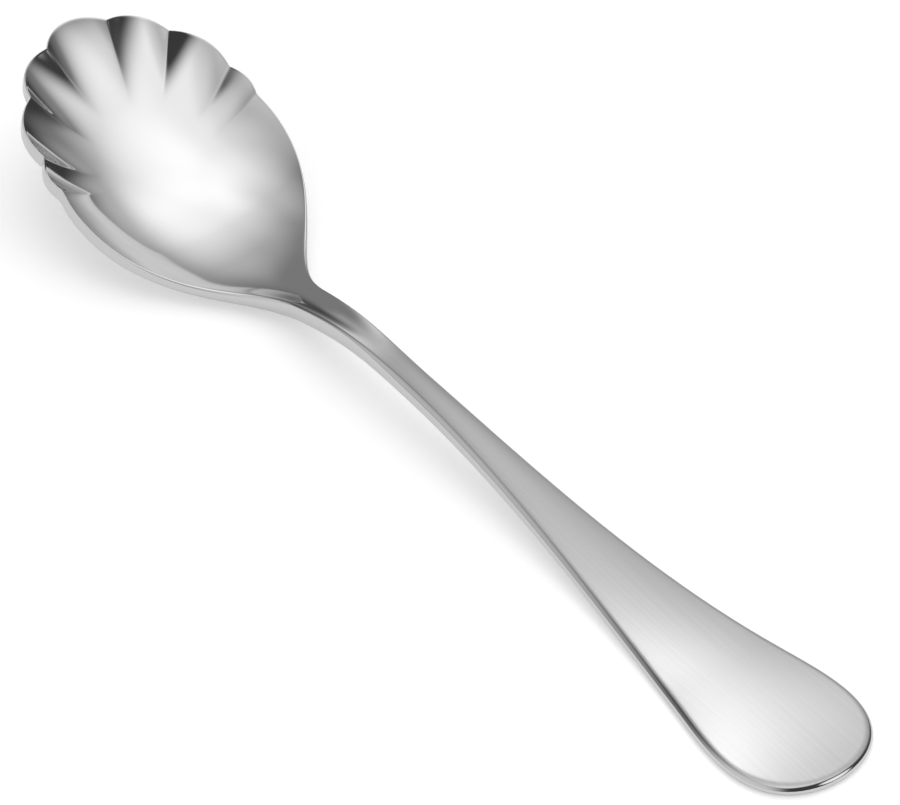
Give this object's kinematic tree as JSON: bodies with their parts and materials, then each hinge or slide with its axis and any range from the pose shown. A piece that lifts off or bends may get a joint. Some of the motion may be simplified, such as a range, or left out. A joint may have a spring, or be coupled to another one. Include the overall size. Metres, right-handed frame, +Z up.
{
  "type": "sugar spoon",
  "caption": "Small stainless-steel serving spoon with a fluted, scallop-rimmed bowl on a slim neck and a flat, flaring satin handle, for lifting sugar out of a sugar bowl.",
  "frame": {"origin": "middle of the bounding box in plan, on the surface the spoon lies on", "axes": "+X along the spoon from the bowl to the end of the handle, +Y across it, +Z up out of the open bowl"},
  "size_m": [0.152, 0.0342, 0.0167],
  "materials": {
    "polished_bowl_steel": "mirror polished stainless steel",
    "polished_neck_steel": "mirror polished stainless steel",
    "satin_handle_steel": "satin stainless steel, brushed along the handle, with polished rounded edges"
  },
  "bodies": {
    "root": {"bowl": "polished_bowl_steel", "neck": "polished_neck_steel", "handle": "satin_handle_steel"}
  },
  "joints": []
}
